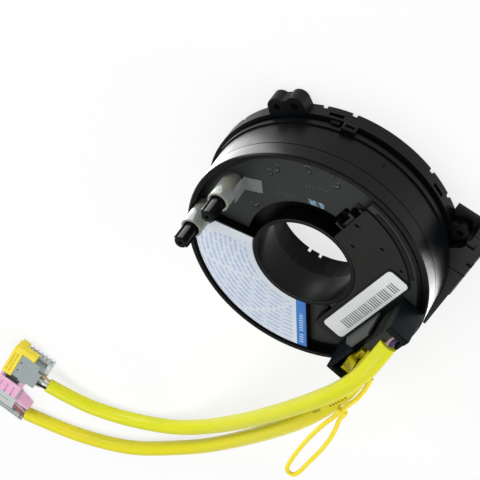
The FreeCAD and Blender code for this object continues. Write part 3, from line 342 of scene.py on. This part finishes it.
def bore_black():
    finish = black_moulding("bore black", (0.002, 0.0025, 0.0025), 0.2, 0.04)
    drag = finish.streaks(3.2, 26.0)
    finish.dull(drag.fade(0.35, 0.65) * 0.4 + 0.08)
    # Lighter streaks down the wall: painted sheen.
    finish.tint(finish.streaks(7.0, 40.0).fade(0.5, 0.62) * 0.7, (0.014, 0.017, 0.016))
    # The joint ring is painted dark as painted shade in its gap, and a thin ring above it lighter as a
    # painted highlight on its edge.
    finish.tint(finish.z.within(JOINT_HEIGHT, 0.9) * 0.95, (0.0004, 0.0004, 0.0004))
    finish.tint(finish.z.within(JOINT_HEIGHT + 1.4, 0.3) * 0.8, (0.07, 0.075, 0.07))
    round_the_bore = finish.y.step("ARCTAN2", finish.x) * 19.0 - 42.1
    reach = round_the_bore.size().step("MAXIMUM", (finish.z - LATCH_HEIGHT).size() * 1.2)
    finish.tint(reach.within(2.4, 0.28) * 0.8, (0.08, 0.085, 0.08))
    finish.tint(reach.within(0.9, 0.25) * 0.8, (0.05, 0.055, 0.05))
    return finish.material


# The cover plate is dull, with painted shade along its stepped outer edge and painted sheen in lighter
# blotches on its upward faces
def cover_black():
    # The last colour paints upward faces lighter: painted light from above.
    finish = black_moulding("cover black", (0.003, 0.0032, 0.0032), 0.36, 0.14, (0.0095, 0.0102, 0.0088))
    # Darker along the stepped outer edge: painted shade in the step.
    finish.tint(distance_out(finish).fade(47.3, 47.8) * 0.85, (0.0008, 0.0009, 0.0009))
    # Lighter blotches on upward faces only: painted sheen.
    top_sheen_blotches = finish.noise(2.0, 4.0).fade(0.55, 0.75) * 0.25 * finish.facing_up()
    finish.tint(top_sheen_blotches, (0.02, 0.0205, 0.018))
    return finish.material


def wall_black():
    finish = black_moulding("stator black", (0.002, 0.0025, 0.0031), 0.3, 0.15)
    finish.dull(finish.streaks(5.0, 30.0) * 0.22 + finish.noise(14.0) * 0.1 + 0.17)
    return finish.material


FACE_BLACK = face_black()
WALL_BLACK = wall_black()
BORE_BLACK = bore_black()
COVER_BLACK = cover_black()
# Its last colour paints upward faces lighter: painted light from above.
HARNESS_BLACK = black_moulding("harness block black", (0.006, 0.0065, 0.007), 0.4, 0.2,
                               (0.012, 0.0125, 0.0125)).material
# Its last colour paints upward faces lighter: painted light from above.
TOWER_SLATE = black_moulding("tower slate", (0.002, 0.005, 0.0065), 0.36, 0.07,
                             (0.004, 0.0045, 0.005)).material
INSERT_GREY = plain_moulding("insert grey", (0.05, 0.055, 0.054), 0.45, specular_ior_level=0.3)
TAB_BLACK = plain_moulding("tab black", (0.012, 0.012, 0.011), 0.4, specular_ior_level=0.2)
BLOCK_GREY = plain_moulding("end block grey", (0.03, 0.03, 0.03), 0.5)
RETAINER_YELLOW = plain_moulding("retainer yellow", (1.0, 0.86, 0.03), 0.4)
LOCK_YELLOW = plain_moulding("lock yellow", (0.74, 0.6, 0.008), 0.38)
LOCK_PINK = plain_moulding("lock pink", (0.78, 0.42, 0.62), 0.4)
PLUG_GREY = plain_moulding("plug grey", (0.24, 0.28, 0.28), 0.42)
PLUG_LIGHT = plain_moulding("plug light grey", (0.5, 0.54, 0.53), 0.4)
TERMINAL = plain_moulding("terminal metal", (0.7, 0.66, 0.58), 0.25, metallic=1.0)
FILM = plain_moulding("flat cable film", (0.09, 0.075, 0.06), 0.25)


# The terminal comb: dark, with a painted highlight along each of its upright ribs
def comb_ribs():
    finish = Finish("comb grey", (0.003, 0.0035, 0.0025), 0.45, specular_ior_level=0.08)
    rib = (finish.along * 0.95).wrap(1.0)
    # The lighter band on each rib is a painted highlight.
    finish.tint(rib.below(0.42) * 0.9, (0.085, 0.09, 0.078))
    finish.tint(finish.noise(3.0).fade(0.4, 0.8) * 0.5, (0.012, 0.0125, 0.011))
    finish.grain(rib.fade(0.2, 0.5), 0.15)
    return finish.material


COMB_GREY = comb_ribs()


def wire_jacket(name, colour):
    return plain_moulding(name, colour, 0.35, 0.8, 0.01)


def milky_tube():
    finish = Finish("milky sleeve", (0.36, 0.385, 0.365), 0.2, transmission_weight=0.35, ior=1.45,
                    subsurface_weight=0.25, subsurface_scale=0.002, subsurface_radius=(1.0, 1.0, 0.9))
    finish.tint(finish.noise(7.0, 2.0).fade(0.45, 0.62) * 0.55, (0.46, 0.45, 0.3))
    # Darker towards the base: painted shade low on the sleeve.
    finish.tint(finish.z.fade(40.0, 29.0) * 0.5, (0.27, 0.29, 0.25))
    finish.dull(finish.noise(3.0) * 0.16 + 0.14)
    finish.grain(finish.noise(1.6), 0.04)
    return finish.material


def soft_sleeve(name, colour, deep, dashes=False):
    finish = Finish(name, colour, 0.36, coat_weight=0.06, coat_roughness=0.2, specular_ior_level=0.25,
                    subsurface_weight=0.2, subsurface_scale=0.003, subsurface_radius=(1.0, 0.9, 0.3))
    finish.tint(finish.noise(16.0, 2.0).fade(0.35, 0.7) * 0.6, deep)
    finish.dull(finish.noise(4.0) * 0.2 + 0.28)
    finish.grain(finish.noise(2.2, 2.0), 0.05)
    if dashes:
        run = (finish.x + 44.0 - (finish.y - 52.8) * 0.2635).size().below(0.42)
        groups = finish.y.within(45.5, 6.5) + finish.y.within(63.0, 4.0)
        finish.tint(run * groups * (finish.y / 2.3).wrap(1.0).below(0.6) * 0.85, (0.07, 0.04, 0.01))
    return finish.material


def clear_film():
    finish = Finish("clear tape", (0.75, 0.79, 0.8), 0.1, transmission_weight=0.82, ior=1.46)
    finish.tint(finish.noise(2.2, 2.0).fade(0.5, 0.7) * 0.6, (0.95, 0.97, 0.97))
    finish.grain(finish.noise(2.5, 2.0), 0.25)
    return finish.material


def white_paper(name, colour):
    finish = Finish(name, colour, 0.45, specular_ior_level=0.2)
    finish.tint(finish.noise(20.0).fade(0.3, 0.8) * 0.3, [c * 0.92 for c in colour])
    finish.grain(finish.noise(0.5), 0.006)
    return finish


# The large sticker: rows of short strokes round the axis, and a blue band along one straight edge
ROW_PITCH = 2.35
FIRST_ROW = 27.0
BAND_WIDTH = 4.6


def face_print():
    finish = white_paper("face sticker", (0.6, 0.65, 0.7))
    out = distance_out(finish)
    angle = finish.along.step("ARCTAN2", finish.across) * (180 / math.pi)
    from_edge = finish.across * 0.808 + finish.along * 0.589
    upright = finish.along * 0.808 - finish.across * 0.589
    row = (out - FIRST_ROW) / ROW_PITCH
    number = row.step("FLOOR")
    in_row = (row - number - 0.5).size().below(0.27)
    round_axis = angle * out * 0.0175
    letter = (round_axis / 0.95 + number * 0.37).wrap(1.0).below(0.62)
    word = (round_axis + number * 3.7).wrap(8.6).above(1.1)
    gap = (angle + number * 2.6).wrap(37.0).above(2.4)
    bounds = from_edge.above(6.6) * out.above(27.5) * out.below(51.6) * angle.above(33.0)
    uneven = finish.noise(2.2, 2.0).fade(0.25, 0.6)
    strokes = in_row * word * gap * bounds
    finish.tint(strokes * 0.28, (0.34, 0.42, 0.64))
    finish.tint(strokes * letter * uneven * 0.7, (0.2, 0.3, 0.6))
    finish.tint(from_edge.below(BAND_WIDTH), (0.045, 0.18, 0.52))
    groups = upright.within(37.5, 5.2) + upright.within(47.4, 2.9)
    strip = from_edge.within(BAND_WIDTH / 2, 0.95) * (upright / 1.45).wrap(1.0).below(0.42) * groups
    finish.tint(strip * 0.7, (0.62, 0.74, 0.88))
    return finish.material


def stripe_print():
    finish = white_paper("stripe sticker", (0.64, 0.66, 0.66))
    inside = finish.across.within(-32.6, 2.5) * finish.along.within(-7.2, 19.8)
    bars = (finish.along * 0.69 + 0.2).wrap(1.0).below(0.52)
    gaps = (finish.along * 0.14 + 0.1).wrap(1.0).above(0.09)
    finish.tint(inside * bars * gaps * 0.85, (0.05, 0.055, 0.06))
    return finish.material


def mark_print():
    finish = Finish("small mark", (0.17, 0.26, 0.33), 0.3)
    slant = finish.across * 0.6 + finish.along
    finish.tint((slant / 4.6 + 0.2).wrap(1.0).below(0.3) * 0.9, (0.01, 0.014, 0.02))
    finish.tint(finish.noise(1.8).fade(0.5, 0.58) * 0.75, (0.035, 0.055, 0.075))
    return finish.material


MILKY = milky_tube()
SLEEVE_LIME = soft_sleeve("lime sleeve", (0.6, 0.62, 0.012), (0.66, 0.62, 0.012))
SLEEVE_GOLD = soft_sleeve("gold sleeve", (0.68, 0.61, 0.012), (0.62, 0.62, 0.012), True)
STRAP_YELLOW = soft_sleeve("strap yellow", (0.8, 0.68, 0.03), (0.85, 0.62, 0.03))

# Rigid mouldings
moulding("stator_base", 0.25, WALL_BLACK)
moulding("stator_housing", 0.2, WALL_BLACK)
moulding("harness_block", 0.25, HARNESS_BLACK)
moulding("rotor_face", 0.25, FACE_BLACK)
moulding("retaining_sleeve", 0.2, BORE_BLACK)
moulding("cable_cover", 0.2, COVER_BLACK)
moulding("lead_tower", 0.25, TOWER_SLATE)
moulding("tower_comb", 0.12, COMB_GREY)
moulding("tower_insert", 0.15, INSERT_GREY)
moulding("yellow_retainer", 0.25, RETAINER_YELLOW)
moulding("lock_tab", 0.15, TAB_BLACK)
moulding("post_sleeve_1", 0.25, MILKY)
moulding("post_sleeve_2", 0.25, MILKY)
moulding("plug_a_body", 0.3, PLUG_GREY)
moulding("plug_a_cover", 0.2, PLUG_LIGHT)
moulding("plug_a_lock", 0.3, LOCK_YELLOW)
moulding("plug_b_body", 0.3, PLUG_LIGHT)
moulding("plug_b_cover", 0.2, PLUG_LIGHT)
moulding("plug_b_wing", 0.15, LOCK_PINK)
moulding("plug_b_lock", 0.3, LOCK_PINK)
keep_node("harness_cover", HARNESS_BLACK)
keep_node("harness_terminals", TERMINAL)
keep_node("outer_end_block", BLOCK_GREY)
keep_node("inner_end_block", BLOCK_GREY)
keep_node("flat_cable", FILM)
keep_node("face_sticker", face_print())
keep_node("stripe_sticker", stripe_print())
keep_node("face_mark", mark_print())
moulding("clear_tape", 0.0, clear_film())
for node, colour in (("wire_violet", (0.11, 0.05, 0.22)), ("wire_white", (0.62, 0.44, 0.47)),
                     ("wire_green", (0.06, 0.3, 0.12)), ("wire_blue", (0.06, 0.14, 0.45)),
                     ("wire_black", (0.012, 0.012, 0.012)), ("wire_light", (0.6, 0.63, 0.58)),
                     ("wire_tan", (0.5, 0.34, 0.2)), ("wire_red", (0.55, 0.06, 0.12)),
                     ("wire_grey", (0.42, 0.42, 0.4))):
    moulding(node, 0.0, wire_jacket(node.replace("_", " "), colour), 60)


# A small block: a cube at its size and place, one face set in by a rim, and its corners broken
def block(name, size, place, turn, node, material, facing, rim, depth):
    bpy.ops.object.select_all(action="DESELECT")
    bpy.ops.mesh.primitive_cube_add(size=1, location=metres(place), rotation=(0, 0, turn))
    piece = bpy.context.active_object
    piece.name = name
    piece.scale = metres(size)
    bpy.ops.object.transform_apply(location=True, rotation=True, scale=True)
    way = Matrix.Rotation(turn, 3, "Z") @ Vector(facing)
    for face in piece.data.polygons:
        face.select = face.normal.dot(way) > 0.9
    for edge in piece.data.edges:
        edge.select = False
    for point in piece.data.vertices:
        point.select = False
    bpy.ops.object.mode_set(mode="EDIT")
    bpy.ops.mesh.select_mode(type="FACE")
    bpy.ops.mesh.inset(thickness=rim * MM)
    bpy.ops.mesh.extrude_region_move(TRANSFORM_OT_translate={"value": [-v * depth * MM for v in way]})
    bpy.ops.mesh.select_all(action="SELECT")
    bpy.ops.mesh.normals_make_consistent(inside=False)
    bpy.ops.object.mode_set(mode="OBJECT")
    break_corners(piece, 0.2)
    smooth(piece)
    wear(piece, material)
    return rest_on(piece, node)


def on_ring(angle, out):
    return out * math.cos(math.radians(angle)), out * math.sin(math.radians(angle))


# Latch bracket on the ring's step, beside the near right ear, with a short, lower tab next to it
# Name, angle, distance out, low and high, width, thickness, rim and depth
BRACKETS = (("latch_bracket", -76.0, 57.9, 6.95, 11.2, 6.4, 1.6, 1.1, 0.9),
            ("latch_tab", -69.5, 57.5, 7.0, 9.0, 4.0, 1.0, 0.6, 0.3))
for name, angle, out, low, high, width, thick, rim, depth in BRACKETS:
    x, y = on_ring(angle, out)
    block(name, (thick, width, high - low), (x, y, (low + high) / 2), math.radians(angle), "stator_base",
          WALL_BLACK, (1, 0, 0), rim, depth)

# Open frame along the far side of the second plug
PLUG_SEAT = (95.0, 266.7, 0.25)
PLUG_TURN = math.radians(-4.0)


def on_plug(x, y, z):
    return (PLUG_SEAT[0] + x * math.cos(PLUG_TURN) - y * math.sin(PLUG_TURN),
            PLUG_SEAT[1] + x * math.sin(PLUG_TURN) + y * math.cos(PLUG_TURN), PLUG_SEAT[2] + z)


for name, size, place, rim, depth in (("plug_b_frame", (22.0, 3.4, 6.0), (2.4, 10.5, 3.3), 0.7, 3.0),
                                      ("plug_b_collar", (3.0, 4.4, 3.4), (-4.2, 9.4, 4.9), 0.6, 0.8)):
    block(name, size, on_plug(*place), PLUG_TURN, "plug_b_body", PLUG_LIGHT, (0, 0, 1),
          rim, depth)


# Leads and strap: one smooth line each, through the same listed points as the solids
def soft_line(name, points, radius, material):
    curve = bpy.data.curves.new(name, "CURVE")
    curve.dimensions = "3D"
    spline = curve.splines.new("NURBS")
    spline.points.add(len(points) - 1)
    for point, (x, y, z) in zip(spline.points, points):
        point.co = (x * MM, y * MM, z * MM, 1)
    spline.order_u = 3
    spline.use_endpoint_u = True
    spline.resolution_u = 10
    curve.bevel_depth = radius * MM
    curve.bevel_resolution = 8
    curve.use_fill_caps = True
    piece = bpy.data.objects.new(name, curve)
    bpy.context.scene.collection.objects.link(piece)
    piece.data.materials.append(material)
    return piece


LEAD_1 = [(-48.0, -3.8, 50.0), (-47.4, 2.8, 53.4), (-46.8, 12.2, 55.5), (-44.1, 27.6, 55.7),
          (-38.7, 49.4, 51.5), (-30.4, 84.0, 41.3), (-20.1, 125.4, 27.2), (-7.9, 166.7, 13.0),
          (7.3, 197.0, 5.8), (23.2, 212.6, 4.1), (41.2, 224.2, 4.0), (61.5, 229.4, 6.4),
          (81.5, 227.6, 9.2)]
LEAD_2 = [(-47.0, 11.8, 43.6), (-46.8, 20.4, 46.4), (-46.9, 34.6, 47.7), (-45.4, 50.8, 46.8),
          (-40.9, 78.2, 42.0), (-32.8, 115.6, 31.0), (-22.5, 157.0, 17.6), (-9.9, 194.6, 7.7),
          (5.3, 220.5, 4.1), (21.9, 241.0, 4.0), (41.4, 255.1, 4.0), (64.1, 266.4, 4.0),
          (86.4, 273.0, 4.1)]
STRAP_STEM = [(-51.9, 27.0, 44.4), (-52.5, 32.3, 47.0), (-51.8, 37.4, 50.4), (-49.9, 42.9, 51.9),
              (-49.9, 46.9, 51.9)]
STRAP_LOOP = [(-51.0, 50.5, 51.9), (-51.0, 53.7, 51.9), (-52.8, 62.9, 51.4), (-53.9, 76.5, 49.8),
              (-53.6, 90.2, 48.1), (-53.0, 102.0, 47.0), (-52.6, 111.6, 46.6), (-51.4, 117.2, 46.4),
              (-47.4, 117.2, 46.4), (-46.1, 111.6, 46.6), (-45.7, 101.0, 47.0), (-45.7, 88.2, 48.1),
              (-46.2, 74.6, 49.8), (-47.3, 62.0, 51.4), (-48.6, 54.3, 51.9), (-48.6, 50.5, 51.9)]


lead_1 = soft_line("lead_1", LEAD_1, 4.0, SLEEVE_LIME)
lead_2 = soft_line("lead_2", LEAD_2, 4.0, SLEEVE_GOLD)
stem = soft_line("strap_stem_line", STRAP_STEM, 1.1, STRAP_YELLOW)
loop = soft_line("strap_loop_line", STRAP_LOOP, 1.1, STRAP_YELLOW)
clasp = moulding("strap_clasp", 0.5, STRAP_YELLOW)
for piece, node in ((lead_1, "lead_sleeve_1"), (lead_2, "lead_sleeve_2"), (stem, "strap_stem"),
                    (loop, "strap_loop")):
    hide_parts(node)
    rest_on(piece, node)
metres(LEAD_1[0])
metres(LEAD_2[0])
metres(STRAP_LOOP[0])

# Floor, light and camera
FLOOR_WHITE = 0.75      # how much of the floor's plain white the camera and the reflections see
SKY_LIGHT = 0.45        # strength of the sky as a light
CARD_LIGHT = 5.5        # brightness of the cards beside the body

bpy.ops.object.select_all(action="DESELECT")
bpy.ops.mesh.primitive_plane_add(size=6, location=(0, 0, 0))
floor = bpy.context.active_object
floor.name = "floor"
paper = bpy.data.materials.new("white floor")
paper.use_nodes = True
tree = paper.node_tree
shader = tree.nodes["Principled BSDF"]
shader.inputs["Base Color"].default_value = (0.86, 0.86, 0.86, 1)
shader.inputs["Roughness"].default_value = 0.7
shader.inputs["Specular IOR Level"].default_value = 0.1
glow = add_node(tree, "Emission", {}, {"Color": (1, 1, 1, 1), "Strength": 1.0})
path = add_node(tree, "LightPath", {}, {})
seen = [Field(tree, path.outputs[kind]) for kind in ("Is Camera Ray", "Is Glossy Ray", "Is Transmission Ray")]
shaded = (seen[0] + seen[1] + seen[2]).below(0.5)
blend = add_node(tree, "MixShader", {}, {0: (1.0 - shaded) * FLOOR_WHITE, 1: shader.outputs[0],
                                         2: glow.outputs[0]})
tree.links.new(blend.outputs[0], tree.nodes["Material Output"].inputs["Surface"])
floor.data.materials.append(paper)

world = bpy.data.worlds.new("studio") if not bpy.context.scene.world else bpy.context.scene.world
bpy.context.scene.world = world
world.use_nodes = True
sky = world.node_tree.nodes["Background"]
sky.inputs["Color"].default_value = (1, 1, 1, 1)
sky_path = add_node(world.node_tree, "LightPath", {}, {})
seen_sky = Field(world.node_tree, sky_path.outputs["Is Camera Ray"]) * (1 - SKY_LIGHT) + SKY_LIGHT
world.node_tree.links.new(seen_sky.socket, sky.inputs["Strength"])


def soft_box(name, place, aim, width, height, watts):
    lamp = bpy.data.lights.new(name, "AREA")
    lamp.shape = "RECTANGLE"
    lamp.size = width
    lamp.size_y = height
    lamp.energy = watts
    light = bpy.data.objects.new(name, lamp)
    bpy.context.scene.collection.objects.link(light)
    light.location = place
    light.rotation_euler = (Vector(aim) - Vector(place)).to_track_quat("-Z", "Y").to_euler()
    return light


soft_box("top box", (0.05, 0.25, 1.0), (0, 0.05, 0), 1.0, 0.8, 6.5)
# White cards lie on the table beside the body and inside its bore, and show only in the glossy walls
for name, place, width, height in (("right card", (0.1, -0.012, 0.001), 0.074, 0.115),
                                   ("left card", (-0.104, 0.01, 0.001), 0.076, 0.11),
                                   ("bore card", (0.013, 0.004, 0.001), 0.006, 0.008)):
    watts = CARD_LIGHT * math.pi * width * height
    card = soft_box(name, place, (place[0], place[1], 1.0), width, height, watts)
    card.visible_camera = False
    card.visible_diffuse = False
    card.visible_transmission = False
soft_box("left box", (-0.75, -0.25, 0.1), (0, 0, 0.02), 0.3, 0.5, 4)
soft_box("right box", (0.7, -0.12, 0.12), (0, 0, 0.02), 0.3, 0.5, 4)

eye = bpy.data.cameras.new("camera")
eye.sensor_width = 36
eye.lens = 109.79
eye.clip_start = 0.01
eye.clip_end = 20
camera = bpy.data.objects.new("camera", eye)
bpy.context.scene.collection.objects.link(camera)
camera.location = (0.000957, -0.462354, 0.450374)
camera.rotation_euler = (math.radians(-42.862), math.radians(25.6376), math.radians(-158.307))
bpy.context.scene.camera = camera
bpy.context.scene.view_settings.view_transform = "Standard"
